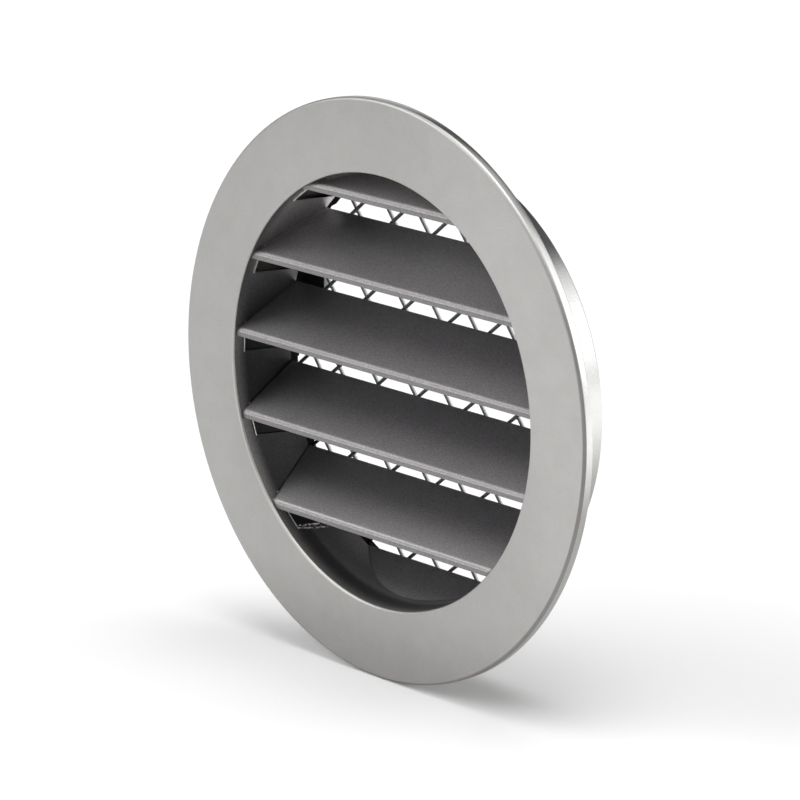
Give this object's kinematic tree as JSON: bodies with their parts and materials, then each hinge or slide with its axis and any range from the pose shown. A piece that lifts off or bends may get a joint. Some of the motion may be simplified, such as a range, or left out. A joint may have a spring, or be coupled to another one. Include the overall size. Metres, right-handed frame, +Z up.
{
  "type": "vent cover",
  "caption": "Round wall vent cover with a flat flange, fixed slanted louvre blades, a short spigot and a welded wire insect mesh behind the blades.",
  "frame": {"origin": "on the spigot's axis, in the plane of the flange's back face, which lies against the wall", "axes": "+X to the right seen from outside, +Y into the wall along the spigot, +Z up, so the blades shed rain towards -Y"},
  "size_m": [0.16, 0.0263, 0.16],
  "materials": {
    "cast_aluminium": "as die-cast and shot-blasted, matt",
    "galvanised_wire": "drawn galvanised wire, dull"
  },
  "bodies": {
    "root": {"louvre_casting": "cast_aluminium", "wire_mesh": "galvanised_wire"}
  },
  "joints": []
}
